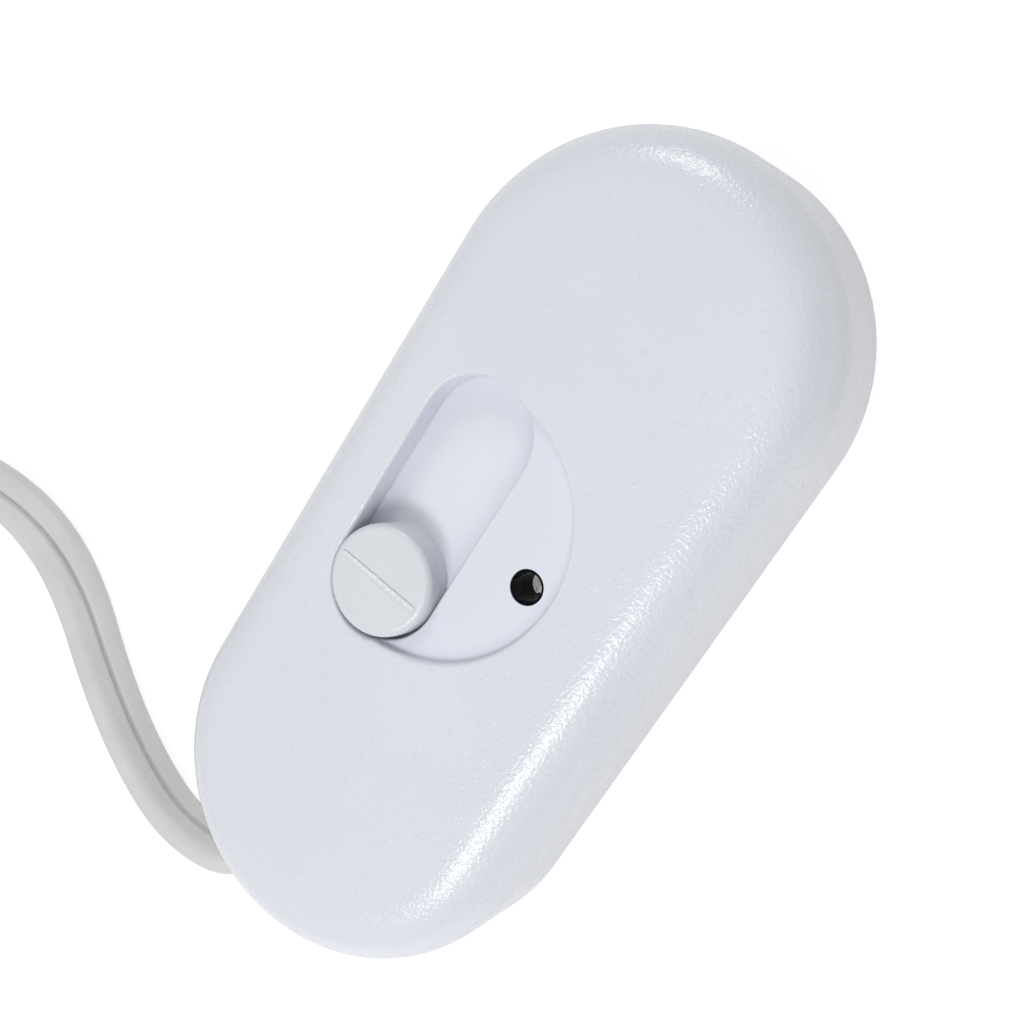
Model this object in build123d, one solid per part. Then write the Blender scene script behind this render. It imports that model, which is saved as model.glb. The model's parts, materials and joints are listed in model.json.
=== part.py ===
from build123d import *
import math
import os

# Case sizes
case_length = 115.0
case_width = 51.0
case_height = 24.0
top_edge_radius = 7.5
cover_wall = 2.2
cover_top = 2.4
seam_height = 3.6
seam_inset = 0.35
parting_height = 0.5
parting_depth = 0.45
base_floor = 2.0
base_edge_radius = 2.9
lip_wall = 1.4
lip_height = 3.0
lip_clearance = 0.15

# Recess, slot and knob sizes
control_x = 2.3
slot_y = 8.35
slot_width = 14.5
slot_end_gap = 0.55
knob_travel = 21.2
knob_diameter = 14.0
knob_rise = 1.0
knob_edge_radius = 0.9
knob_line_width = 0.6
knob_line_length = 12.0
knob_line_rise = 0.18
dish_radius = 17.45
dish_y = 6.5
recess_depth = 1.1
plate_thickness = 2.5
plate_margin = 2.0
rim_round = 0.45
slot_round = 0.3

# Shutter and its guides
shutter_gap = 0.1
shutter_thickness = 1.2
shutter_overlap = 2.0
shutter_end_overlap = 1.0
guide_gap = 0.2
guide_width = 1.2
shutter_corner = 1.5

# Trim adjuster sizes
trim_y = -7.2
trim_hole_diameter = 4.4
sleeve_clearance = 0.03
sleeve_bore = 3.7
sleeve_sink = 0.15
sleeve_flange_diameter = 7.6
sleeve_flange_height = 1.0
rotor_diameter = 3.5
rotor_depth = 5.7
rotor_slot_width = 0.7
rotor_slot_depth = 0.9
rotor_flange_diameter = 6.0
rotor_flange_height = 1.2
rotor_end_gap = 0.1
trim_body_side = 9.5
trim_body_height = 5.2
trim_body_corner = 0.8
rotor_side_gap = 0.2

# Circuit board sizes
board_thickness = 1.6
board_underside_z = 7.8
board_post_gap = 6.5
board_boss_gap = 2.0
board_width = 36.0
board_corner = 6.5
standoff_diameter = 5.0
pin_diameter = 2.4
pin_clearance = 0.05
pin_rise = 0.8
standoff_inset_x = 4.0
standoff_inset_y = 4.0

# Slide control sizes
fader_length = 42.0
fader_width = 9.0
fader_height = 6.6
fader_sheet = 0.5
fader_slit_width = 1.6
track_thickness = 1.0
track_gap = 0.1
carriage_length = 8.0
carriage_height = 4.3
carriage_gap = 0.1
carriage_side_gap = 0.3
lever_end_gap = 0.6
lever_length = 4.0
lever_width = 1.2
lever_fit = 0.02
lever_top_cover = 1.6
wiper_sheet = 0.3
wiper_length = 5.0
wiper_width = 3.0
wiper_split_length = 3.6
wiper_split_width = 0.6

# Case fastening sizes
screw_inset = 11.0
screw_y = 7.0
post_diameter = 8.0
post_top_z = 6.0
counterbore_diameter = 6.2
counterbore_depth = 4.0
screw_hole_diameter = 3.2
screw_head_diameter = 5.6
screw_head_height = 2.2
screw_diameter = 2.6
screw_length = 11.5
boss_diameter = 7.0
pilot_fit = 0.02
pilot_spare = 1.0
screw_head_round = 0.7
cross_length = 3.2
cross_width = 0.8
cross_depth = 1.2

# Electronic pieces, each as its size and its place on the board
sink_length = 17.0
sink_width = 15.0
sink_sheet = 1.5
sink_fin_height = 5.0
sink_x = -15.0
sink_y = -9.5
triac_length = 9.2
triac_width = 10.0
triac_height = 4.5
tab_length = 6.4
tab_sheet = 1.3
triac_leg = 0.8
triac_leg_pitch = 2.54
triac_leg_sheet = 0.5
triac_leg_root = 1.0
triac_leg_reach = 1.6
triac_edge = 0.6
tab_under = 5.5
tab_screw_head = 5.4
tab_screw_rise = 2.0
tab_screw_diameter = 2.9
slotted_round = 0.5
slotted_width = 0.7
slotted_depth = 0.7
core_outer = 15.0
core_inner = 8.0
core_height = 5.0
wire_size = 0.9
wire_turns = 14
core_gap = 0.5
core_y = -4.0
turn_gap = 0.2
first_turn = 15.0
turn_sweep = 330.0
line_cap_size = (13.0, 6.0, 9.5)
line_cap_place = (30.5, 14.5)
timing_cap_size = (10.5, 5.0, 8.5)
timing_cap_place = (14.6, -5.2)
cap_round = 0.7
resistor_diameter = 2.4
resistor_length = 6.4
axial_lead = 0.6
axial_span = 10.0
axial_rise = 0.3
axial_bend = 0.8
resistor_x = 0.0
resistor_rows = (-16.2, -13.6)
diode_diameter = 1.9
diode_length = 4.0
diode_place = (12.0, -12.9)
fuse_diameter = 2.6
fuse_length = 7.0
fuse_place = (11.0, -16.0)

# Cord sizes
cord_width = 8.2
cord_thickness = 4.1
groove_width = 1.3
groove_depth = 0.45
cord_y = 8.0
cord_turn = -13.0
cord_run_out = 4.4
guide_rise = 20.0
port_clearance = 0.1
inner_reach = 17.0
core_wire = 2.2
core_wire_bend = 1.5
core_wire_rise = 3.2
core_wire_reach = 3.0
clamp_length = 5.0
clamp_width = 17.6
clamp_height = 2.0
clamp_post_spacing = 13.2
clamp_post_diameter = 4.4
clamp_post_gap = 0.2
clamp_screw = 1.9
clamp_head = 3.6
clamp_head_height = 1.4
clamp_corner = 1.6
clamp_hole_gap = 0.15
clamp_end_gap = 0.5

# Coil, tie and plug places
coil_x = -22.5
coil_y = 168.5
coil_outer_turn = 47.7
coil_inner_turn = 34.8
coil_layers = 4
layer_pitch = 4.15
coil_corner = 1.9
tie_width = 11.0
tie_sheet = 0.9
tie_gap = 0.15
tie_turn = 150.0
plug_turn = -20.0
plug_x = 33.0
plug_y = 199.2
plug_entry_z = 10.2
plug_neck = 18.0
plug_length = 34.0
plug_depth = 22.0
plug_height = 20.0
plug_corner = 4.0
plug_edge = 1.6
neck_tip_wall = 1.0
neck_root_wall = 2.8
neck_rings = 5
neck_ring_gap = 1.2
neck_core_wall = 0.8
grip_grooves = 4
grip_pitch = 3.0
grip_width = 1.2
grip_depth = 0.5
blade_pitch = 12.7
blade_sheet = 1.5
blade_reach = 17.0
blade_root = 4.0
narrow_blade = 6.35
wide_blade = 7.94
outlet_slot = 2.5
outlet_spare = 1.1
outlet_depth = 16.5
contact_sheet = 0.4
contact_side_gap = 0.05
contact_width = 5.6
contact_sink = 4.5
blade_tip = 0.4

# Heights and places that follow from the sizes
recess_floor_z = case_height - recess_depth
plate_z = recess_floor_z - plate_thickness
ceiling_z = case_height - cover_top
shutter_top_z = plate_z - shutter_gap
shutter_z = shutter_top_z - shutter_thickness
slot_length = knob_travel + knob_diameter + 2 * slot_end_gap
knob_rest_x = control_x - knob_travel / 2
knob_top_z = case_height + knob_rise
shutter_length = slot_length + knob_travel + 2 * shutter_end_overlap
shutter_width = slot_width + 2 * shutter_overlap
board_top_z = board_underside_z + board_thickness
fader_top_z = board_top_z + fader_height
track_top_z = board_top_z + track_thickness
carriage_z = track_top_z + wiper_sheet + carriage_gap
lever_top_z = knob_top_z - lever_top_cover
trim_body_top_z = board_top_z + trim_body_height
rotor_top_z = recess_floor_z - rotor_depth
rotor_flange_z = trim_body_top_z - rotor_end_gap - rotor_flange_height
cord_inner_z = base_floor + cord_thickness / 2
cord_floor_z = cord_thickness / 2
coil_height = cord_thickness + (coil_layers - 1) * layer_pitch
coil_radius = (coil_outer_turn + coil_inner_turn) / 2
coil_band = coil_outer_turn - coil_inner_turn + cord_width
tie_middle = coil_radius - tie_gap
tail_z = coil_height - cord_thickness / 2
screw_x = case_length / 2 - screw_inset
inner_start_x = -case_length / 2
inner_end_x = inner_start_x + inner_reach
clamp_x = inner_end_x - clamp_length / 2 - clamp_end_gap
board_left = sink_x - sink_length / 2 - board_post_gap
board_right = screw_x - boss_diameter / 2 - board_boss_gap
standoff_y = board_width / 2 - standoff_inset_y
case_screw_spots = [(-screw_x, -screw_y), (screw_x, screw_y)]
bottom = (Align.CENTER, Align.CENTER, Align.MIN)


def block(size_x, size_y, size_z, x, y, z):
    return Pos(x, y, z) * Box(size_x, size_y, size_z, align=bottom)


def rod(diameter, height, x, y, z):
    return Pos(x, y, z) * Cylinder(diameter / 2, height, align=bottom)


def prism(face, z, height):
    return extrude(Pos(0, 0, z) * face, height)


def case_face(inset):
    return SlotOverall(case_length - 2 * inset, case_width - 2 * inset)


def slot_face(grow):
    return Pos(control_x, slot_y) * SlotOverall(slot_length + 2 * grow, slot_width + 2 * grow)


def dish_face(grow):
    reach = dish_radius + grow
    half = Pos(control_x, slot_y - reach) * Rectangle(3 * reach, 2 * reach)
    return (Pos(control_x, dish_y) * Circle(reach)) & half


def edges_at(solid, z, low_y):
    # Level edges of the control area at one height, above a given side line
    near = (slot_length / 2 + rim_round, slot_y + slot_width / 2 + rim_round)
    level = solid.edges().filter_by(lambda edge: edge.bounding_box().size.Z < rim_round / 100)
    level = level.filter_by(lambda edge: abs(edge.center().Z - z) < rim_round / 100)
    level = level.filter_by(lambda edge: abs(edge.center().X - control_x) < near[0])
    return level.filter_by(lambda edge: low_y - rim_round < edge.center().Y < near[1])


def cord_face(grow):
    return SlotOverall(cord_width + 2 * grow, cord_thickness + 2 * grow)


def cord_along(route, level):
    # A flat two core cord along the route, its wide side held level where the route turns
    radii = []
    for before, here, after in zip(route, route[1:], route[2:]):
        back = Vector(before) - Vector(here)
        ahead = Vector(after) - Vector(here)
        half_turn = math.radians(180 - back.get_angle(ahead)) / 2
        radii.append(0.45 * min(back.length, ahead.length) / math.tan(half_turn))
    print("cord radii", [round(radius, 1) for radius in radii])
    line = FilletPolyline(*route, radius=radii)
    start = Plane(origin=line @ 0, z_dir=line % 0, x_dir=Vector(0, 0, 1).cross(line % 0))
    guide = Pos(0, 0, guide_rise) * Wire(line.edges()) if level else None
    tube = sweep(start * cord_face(0), path=line, binormal=guide)
    share = tube.volume / (cord_face(0).area * line.length)
    print("cord length", round(line.length, 1), "volume share", round(share, 4))
    return tube


# Cover with recess, slot, trim hole, shutter guides and screw bosses
def make_top_cover():
    shell = prism(case_face(0), seam_height, case_height - seam_height)
    shell = fillet(shell.edges().group_by(Axis.Z)[-1], top_edge_radius)
    hollow = prism(case_face(cover_wall), seam_height, ceiling_z - seam_height)
    hollow = fillet(hollow.edges().group_by(Axis.Z)[-1], top_edge_radius - cover_wall)
    cover = shell - hollow
    plate_face = slot_face(plate_margin) + dish_face(plate_margin)
    cover = cover + prism(plate_face, plate_z, case_height - cover_top / 2 - plate_z)
    guide_length = shutter_length + knob_travel + 2 * shutter_end_overlap
    guide_y = shutter_width / 2 + guide_gap + guide_width / 2
    guide_height = ceiling_z + cover_top / 4 - shutter_z
    for y in (slot_y - guide_y, slot_y + guide_y):
        cover = cover + block(guide_length, guide_width, guide_height, control_x, y, shutter_z)
    for x, y in case_screw_spots:
        cover = cover + rod(boss_diameter, ceiling_z + cover_top / 2 - post_top_z, x, y, post_top_z)
    cover = cover - prism(slot_face(0) + dish_face(0), recess_floor_z, 2 * recess_depth)
    cover = cover - prism(slot_face(0), plate_z - 1, case_height)
    cover = cover - rod(trim_hole_diameter, case_height, control_x, trim_y, plate_z - 1)
    cover = fillet(edges_at(cover, case_height, dish_y - dish_radius), rim_round)
    cover = fillet(edges_at(cover, recess_floor_z, trim_y + trim_hole_diameter / 2), slot_round)
    pilot = screw_diameter + 2 * pilot_fit
    pilot_depth = screw_length + counterbore_depth - post_top_z + pilot_spare
    for x, y in case_screw_spots:
        cover = cover - rod(pilot, pilot_depth, x, y, post_top_z)
    return cover - port_cut()


def port_cut():
    port = Plane.YZ * Pos(cord_y, cord_inner_z) * cord_face(port_clearance)
    return cord_place() * Pos(inner_start_x - 1, 0, 0) * extrude(port, case_width / 4)


def cord_place():
    # The cord and its clamp stand turned about the middle of the clamp
    return Pos(clamp_x, cord_y) * Rot(0, 0, cord_turn) * Pos(-clamp_x, -cord_y)


def cord_spot(x, y, z):
    spot = cord_place() * Pos(x, y, z)
    return tuple(spot.position)


# Base tray with locating lip, screw posts, board posts and clamp posts
def make_base_cover():
    tray = prism(case_face(seam_inset), 0, seam_height)
    tray = fillet(tray.edges().group_by(Axis.Z)[0], base_edge_radius)
    parting = case_face(seam_inset) - case_face(seam_inset + parting_depth)
    tray = tray - prism(parting, seam_height - parting_height, parting_height)
    lip_outside = cover_wall + lip_clearance
    lip_inside = lip_outside + lip_wall
    tray = tray + prism(case_face(lip_outside), base_floor, seam_height + lip_height - base_floor)
    tray = tray - prism(case_face(lip_inside), base_floor, case_height)
    for x, y in case_screw_spots:
        tray = tray + rod(post_diameter, post_top_z - base_floor / 2, x, y, base_floor / 2)
    for x, y in case_screw_spots:
        tray = tray - rod(counterbore_diameter, counterbore_depth + 1, x, y, -1)
        tray = tray - rod(screw_hole_diameter, case_height, x, y, 0)
    for x, y in board_post_spots():
        tray = tray + rod(standoff_diameter, board_underside_z - base_floor / 2, x, y, base_floor / 2)
        tray = tray + rod(pin_diameter, board_top_z + pin_rise - base_floor, x, y, base_floor)
    for x, y in clamp_spots():
        post_height = base_floor + cord_thickness - clamp_post_gap - base_floor / 2
        tray = tray + rod(clamp_post_diameter, post_height, x, y, base_floor / 2)
        tray = tray - rod(clamp_screw + 2 * pilot_fit, case_height, x, y, base_floor)
    return tray - port_cut()


def board_post_spots():
    left = board_left + standoff_inset_x
    right = board_right - standoff_inset_x
    return [(left, -standoff_y), (left, standoff_y), (right, -standoff_y)]


def clamp_spots():
    reach = clamp_post_spacing / 2
    return [cord_spot(clamp_x, cord_y + side * reach, 0)[:2] for side in (-1, 1)]


# Two case screws with cross recesses
def make_case_screws():
    screws = []
    for x, y in case_screw_spots:
        head_z = counterbore_depth - screw_head_height
        screw = rod(screw_head_diameter, screw_head_height, x, y, head_z)
        screw = fillet(screw.edges().group_by(Axis.Z)[0], screw_head_round)
        screw = screw + rod(screw_diameter, screw_length, x, y, counterbore_depth)
        screw = screw - block(cross_length, cross_width, cross_depth, x, y, head_z)
        screw = screw - block(cross_width, cross_length, cross_depth, x, y, head_z)
        screws.append(screw)
    return Compound(children=screws)


# Circuit board with holes for the posts
def make_circuit_board():
    middle = (board_left + board_right) / 2
    face = Pos(middle, 0) * RectangleRounded(board_right - board_left, board_width, board_corner)
    board = prism(face, board_underside_z, board_thickness)
    for x, y in board_post_spots():
        board = board - rod(pin_diameter + 2 * pin_clearance, case_height, x, y, 0)
    return board


# Folded frame of the slide control
def make_fader_frame():
    x, y = control_x, slot_y
    frame = block(fader_length, fader_width, fader_height, x, y, board_top_z)
    inside = (fader_length - 2 * fader_sheet, fader_width - 2 * fader_sheet, fader_height - fader_sheet)
    frame = frame - block(*inside, x, y, board_top_z)
    slit = knob_travel + lever_length + 2 * lever_end_gap
    return frame - block(slit, fader_slit_width, 2 * fader_height, x, y, board_top_z)


# Resistive track of the slide control
def make_fader_track():
    length = fader_length - 2 * fader_sheet - 2 * track_gap
    width = fader_width - 2 * fader_sheet - 2 * track_gap
    return block(length, width, track_thickness, control_x, slot_y, board_top_z)


# Carriage and lever that the knob sits on
def make_fader_carriage():
    width = fader_width - 2 * fader_sheet - 2 * carriage_side_gap
    carriage = block(carriage_length, width, carriage_height, knob_rest_x, slot_y, carriage_z)
    lever_height = lever_top_z - carriage_z
    return carriage + block(lever_length, lever_width, lever_height, knob_rest_x, slot_y, carriage_z)


# Spring wiper under the carriage
def make_fader_wiper():
    z = carriage_z - wiper_sheet
    wiper = block(wiper_length, wiper_width, wiper_sheet, knob_rest_x, slot_y, z)
    split_x = knob_rest_x + wiper_length / 2 - wiper_split_length / 2
    return wiper - block(wiper_split_length, wiper_split_width, wiper_sheet, split_x, slot_y, z)


# Shutter that closes the slot and travels with the knob
def make_slider_shutter():
    face = Pos(knob_rest_x, slot_y) * RectangleRounded(shutter_length, shutter_width, shutter_corner)
    shutter = prism(face, shutter_z, shutter_thickness)
    hole_x = lever_length + 2 * lever_fit
    hole_y = lever_width + 2 * lever_fit
    return shutter - block(hole_x, hole_y, shutter_thickness, knob_rest_x, slot_y, shutter_z)


# Round knob with a raised line across it
def make_slider_knob():
    knob = rod(knob_diameter, knob_top_z - shutter_top_z, knob_rest_x, slot_y, shutter_top_z)
    knob = fillet(knob.edges().group_by(Axis.Z)[-1], knob_edge_radius)
    line_face = Pos(knob_rest_x, slot_y) * SlotOverall(knob_line_length, knob_line_width, rotation=90)
    knob = knob + prism(line_face, knob_top_z - knob_line_rise, 2 * knob_line_rise)
    socket_x = lever_length + 2 * lever_fit
    socket_y = lever_width + 2 * lever_fit
    return knob - block(socket_x, socket_y, lever_top_z - shutter_top_z, knob_rest_x, slot_y, shutter_top_z)


# Body of the trim control
def make_trim_body():
    body = block(trim_body_side, trim_body_side, trim_body_height, control_x, trim_y, board_top_z)
    body = chamfer(body.edges().filter_by(Axis.Z), trim_body_corner)
    bore = rotor_flange_diameter + 2 * rotor_side_gap
    depth = trim_body_top_z - rotor_flange_z + rotor_end_gap
    return body - rod(bore, depth, control_x, trim_y, rotor_flange_z - rotor_end_gap)


# Slotted rotor at the bottom of the trim hole
def make_trim_rotor():
    rotor = rod(rotor_flange_diameter, rotor_flange_height, control_x, trim_y, rotor_flange_z)
    rotor = rotor + rod(rotor_diameter, rotor_top_z - rotor_flange_z, control_x, trim_y, rotor_flange_z)
    slot_z = rotor_top_z - rotor_slot_depth
    return rotor - block(2 * rotor_diameter, rotor_slot_width, rotor_slot_depth, control_x, trim_y, slot_z)


# Dark sleeve between the trim hole and its control
def make_trim_sleeve():
    outside = trim_hole_diameter - 2 * sleeve_clearance
    sleeve = rod(sleeve_flange_diameter, sleeve_flange_height, control_x, trim_y, trim_body_top_z)
    reach = recess_floor_z - sleeve_sink - trim_body_top_z
    sleeve = sleeve + rod(outside, reach, control_x, trim_y, trim_body_top_z)
    return sleeve - rod(sleeve_bore, case_height, control_x, trim_y, 0)


# Heat sink, triac and its screw
def make_heat_sink():
    sink = block(sink_length, sink_width, sink_fin_height, sink_x, sink_y, board_top_z)
    channel = sink_width - 2 * sink_sheet
    sink = sink - block(2 * sink_length, channel, sink_fin_height, sink_x, sink_y, board_top_z + sink_sheet)
    return sink - rod(tab_screw_diameter, case_height, tab_hole_x(), sink_y, 0)


def triac_x():
    return sink_x + tab_length / 2


def tab_hole_x():
    return triac_x() - triac_length / 2 - tab_length / 2


def make_triac_body():
    z = board_top_z + sink_sheet
    body = block(triac_length, triac_width, triac_height, triac_x(), sink_y, z)
    body = chamfer(body.edges().group_by(Axis.Z)[-1], triac_edge)
    hollow = block(tab_under, triac_width, tab_sheet, triac_x() - triac_length / 2 + tab_under / 2, sink_y, z)
    for side in (-1, 0, 1):
        hollow = hollow + triac_leg_bar(side)
    return body - hollow


def triac_leg_bar(side):
    z = board_top_z + sink_sheet + triac_height / 2
    start = triac_x() + triac_length / 2 - triac_leg_root
    end = sink_x + sink_length / 2 + triac_leg_reach
    y = sink_y + side * triac_leg_pitch
    leg = block(end - start, triac_leg, triac_leg_sheet, (start + end) / 2, y, z)
    drop = z + triac_leg_sheet - board_top_z
    return leg + block(triac_leg_sheet, triac_leg, drop, end - triac_leg_sheet / 2, y, board_top_z)


def make_triac_tab():
    z = board_top_z + sink_sheet
    right = triac_x() - triac_length / 2 + tab_under
    left = triac_x() - triac_length / 2 - tab_length
    tab = block(right - left, triac_width, tab_sheet, (left + right) / 2, sink_y, z)
    tab = tab - rod(tab_screw_diameter, case_height, tab_hole_x(), sink_y, 0)
    return Compound(children=[tab] + [triac_leg_bar(side) for side in (-1, 0, 1)])


def make_triac_screw():
    z = board_top_z + sink_sheet + tab_sheet
    screw = rod(tab_screw_head, tab_screw_rise, tab_hole_x(), sink_y, z)
    screw = fillet(screw.edges().group_by(Axis.Z)[-1], slotted_round)
    screw = screw + rod(tab_screw_diameter, z - board_top_z, tab_hole_x(), sink_y, board_top_z)
    slot_z = z + tab_screw_rise - slotted_depth
    return screw - block(tab_screw_head, slotted_width, slotted_depth, tab_hole_x(), sink_y, slot_z)


# Choke: ring core and its separate wire turns
def choke_place():
    return control_x + fader_length / 2 + core_gap + core_outer / 2 + wire_size, core_y


def make_choke_core():
    x, y = choke_place()
    z = board_top_z + wire_size
    return rod(core_outer, core_height, x, y, z) - rod(core_inner, case_height, x, y, 0)


def make_choke_winding():
    x, y = choke_place()
    wall = (core_outer - core_inner) / 2
    middle = (core_outer + core_inner) / 4
    turns = []
    for number in range(wire_turns):
        turn = block(wall + 2 * wire_size, wire_size, core_height + 2 * wire_size, middle, 0, board_top_z)
        eye = block(wall + 2 * turn_gap, 2 * wire_size, core_height, middle, 0, board_top_z + wire_size)
        turn = turn - eye
        turns.append(Pos(x, y) * Rot(0, 0, first_turn + number * turn_sweep / (wire_turns - 1)) * turn)
    return Compound(children=turns)


# Capacitors on the board
def make_capacitors():
    caps = []
    for size, place in ((line_cap_size, line_cap_place), (timing_cap_size, timing_cap_place)):
        cap = block(*size, *place, board_top_z)
        caps.append(fillet(cap.edges().group_by(Axis.Z)[-1] + cap.edges().filter_by(Axis.Z), cap_round))
    return Compound(children=caps)


# Axial pieces lie along the board with both leads bent down
def axial(diameter, length, x, y):
    z = board_top_z + diameter / 2 + axial_rise
    body = Pos(x, y, z) * Rot(0, 90, 0) * Cylinder(diameter / 2, length)
    body = fillet(body.edges().filter_by(GeomType.CIRCLE), diameter * 0.2)
    path = FilletPolyline(
        (x - axial_span / 2, y, board_top_z),
        (x - axial_span / 2, y, z),
        (x + axial_span / 2, y, z),
        (x + axial_span / 2, y, board_top_z),
        radius=axial_bend,
    )
    return body + sweep(Plane(origin=path @ 0, z_dir=path % 0) * Circle(axial_lead / 2), path=path)


def make_resistors():
    rows = [axial(resistor_diameter, resistor_length, resistor_x, y) for y in resistor_rows]
    return Compound(children=rows)


def make_trigger_diode():
    return axial(diode_diameter, diode_length, *diode_place)


def make_fuse():
    return axial(fuse_diameter, fuse_length, *fuse_place)


# Wires from the cord to the board
def make_lead_wires():
    wires = []
    for side in (-1, 1):
        start = cord_spot(inner_end_x, cord_y + side * cord_width / 4, cord_inner_z)
        rise_x = board_left - core_wire
        end_x = board_left + core_wire_reach
        top_z = board_top_z + core_wire_rise
        y = start[1] + (rise_x - start[0]) * math.tan(math.radians(cord_turn))
        path = FilletPolyline(
            start,
            (rise_x, y, cord_inner_z),
            (rise_x, y, top_z),
            (end_x, y, top_z),
            (end_x, y, board_top_z),
            radius=core_wire_bend,
        )
        wires.append(sweep(Plane(origin=path @ 0, z_dir=path % 0) * Circle(core_wire / 2), path=path))
    return Compound(children=wires)


# Cord inside the case, its clamp and the clamp screws
def make_cord_inner():
    section = Plane.YZ * Pos(cord_y, cord_inner_z) * cord_face(0)
    return cord_place() * Pos(inner_start_x, 0, 0) * extrude(section, inner_end_x - inner_start_x)


def make_cord_clamp():
    clamp = block(clamp_length, clamp_width, clamp_height, clamp_x, cord_y, base_floor + cord_thickness)
    clamp = cord_place() * fillet(clamp.edges().filter_by(Axis.Z), clamp_corner)
    for spot_x, spot_y in clamp_spots():
        clamp = clamp - rod(clamp_screw + 2 * clamp_hole_gap, case_height, spot_x, spot_y, 0)
    return clamp


def make_clamp_screws():
    screws = []
    for x, y in clamp_spots():
        top = base_floor + cord_thickness + clamp_height
        screw = rod(clamp_head, clamp_head_height, x, y, top)
        screw = fillet(screw.edges().group_by(Axis.Z)[-1], slotted_round)
        screw = screw + rod(clamp_screw, top - base_floor, x, y, base_floor)
        slot_z = top + clamp_head_height - slotted_depth
        screws.append(screw - block(clamp_head, slotted_width, slotted_depth, x, y, slot_z))
    return Compound(children=screws)


# Cord outside the case: the laid part, the tied coil and its end
lead_route = [
    cord_spot(inner_start_x, cord_y, cord_inner_z),
    cord_spot(inner_start_x - cord_run_out, cord_y, cord_inner_z),
    (-65.2, 13.6, 3.6),
    (-66.9, 18.6, 2.6),
    (-66.8, 25.2, cord_floor_z),
    (-65.2, 32.8, cord_floor_z),
    (-61.9, 41.0, cord_floor_z),
    (-57.3, 49.6, cord_floor_z),
    (-53.2, 59.0, cord_floor_z),
    (-50.8, 69.2, cord_floor_z),
    (-50.2, 80.0, cord_floor_z),
    (-51.8, 92.0, cord_floor_z),
    (-56.2, 106.0, cord_floor_z),
    (-61.8, 121.0, cord_floor_z),
    (-66.8, 136.5, cord_floor_z),
]


def plug_axis():
    return math.cos(math.radians(plug_turn)), math.sin(math.radians(plug_turn))


def tail_route():
    along_x, along_y = plug_axis()
    steps = [(27.0, tail_z), (17.0, tail_z - 0.8), (8.0, plug_entry_z), (0.0, plug_entry_z)]
    return [(plug_x - reach * along_x, plug_y - reach * along_y, z) for reach, z in steps]


def make_cord_coil():
    section = Pos(coil_radius, coil_height / 2) * RectangleRounded(coil_band, coil_height, coil_corner)
    ring = revolve(Plane.XZ * section, Axis.Z)
    waist = tie_width + 2 * tie_gap
    held = Pos(0, waist / 2) * extrude(tie_band(-tie_gap), waist)
    trim = block(2 * coil_band, waist, 2 * coil_height, tie_middle, 0, -coil_height / 2) - held
    return coil_place() * (ring - trim)


def coil_place():
    return Pos(coil_x, coil_y) * Rot(0, 0, tie_turn)


def tie_band(grow):
    width = coil_band + 6 * tie_gap + 2 * grow
    height = coil_height + tie_gap + 2 * grow
    middle = tie_sheet + (coil_height + tie_gap) / 2
    return Plane.XZ * Pos(tie_middle, middle) * RectangleRounded(width, height, coil_corner + grow)


def make_cord_tie():
    band = extrude(tie_band(tie_sheet), tie_width) - extrude(tie_band(0), tie_width)
    return coil_place() * Pos(0, tie_width / 2) * band


# Piggyback plug: body, blades and the contacts behind its outlet slots
def plug_place(solid):
    return Pos(plug_x, plug_y) * Rot(0, 0, plug_turn) * solid


def blade_spots():
    middle = plug_neck + plug_length / 2
    return [(middle - blade_pitch / 2, narrow_blade), (middle + blade_pitch / 2, wide_blade)]


def make_plug_body():
    body = block(plug_length, plug_depth, plug_height, plug_neck + plug_length / 2, 0, 0)
    body = fillet(body.edges().filter_by(Axis.Z), plug_corner)
    body = fillet(body.edges().group_by(Axis.Z)[0] + body.edges().group_by(Axis.Z)[-1], plug_edge)
    thin = Plane.YZ * Pos(0, plug_entry_z) * cord_face(neck_tip_wall)
    thick = Plane.YZ.offset(plug_neck + plug_edge) * Pos(0, plug_entry_z) * cord_face(neck_root_wall)
    body = body + loft([thin, thick]) - neck_grooves() - grip_cuts()
    for x, width in blade_spots():
        blade_y = -plug_depth / 2 + blade_root / 2
        body = body - block(blade_sheet, blade_root, width, x, blade_y, plug_height / 2 - width / 2)
        slot_z = plug_height / 2 - (width + outlet_spare) / 2
        slot_place = plug_depth / 2 - outlet_depth / 2
        body = body - block(outlet_slot, outlet_depth, width + outlet_spare, x, slot_place, slot_z)
    return plug_place(body)


def neck_grooves():
    # Ring grooves let the tapered neck bend; the cord's cover runs on inside them
    pitch = plug_neck / (neck_rings + 1)
    core = Plane.YZ * Pos(0, plug_entry_z) * cord_face(neck_core_wall)
    cuts = []
    for number in range(1, neck_rings + 1):
        slice_x = number * pitch - neck_ring_gap / 2
        cut = block(neck_ring_gap, plug_depth, plug_height, number * pitch, 0, plug_entry_z - plug_height / 2)
        cuts.append(cut - Pos(slice_x, 0, 0) * extrude(core, neck_ring_gap))
    return cuts


def grip_cuts():
    # Shallow finger grooves across both broad sides
    first_x = plug_neck + plug_length / 2 - (grip_grooves - 1) * grip_pitch / 2
    cuts = []
    for number in range(grip_grooves):
        x = first_x + number * grip_pitch
        for z in (-grip_depth, plug_height - grip_depth):
            cuts.append(block(grip_width, plug_depth / 2, 2 * grip_depth, x, 0, z))
    return cuts


def make_blade(which):
    x, width = blade_spots()[which]
    reach = blade_root + blade_reach
    y = -plug_depth / 2 + blade_root - reach / 2
    blade = block(blade_sheet, reach, width, x, y, plug_height / 2 - width / 2)
    return plug_place(chamfer(blade.edges().group_by(Axis.Y)[0], blade_tip))


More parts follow.
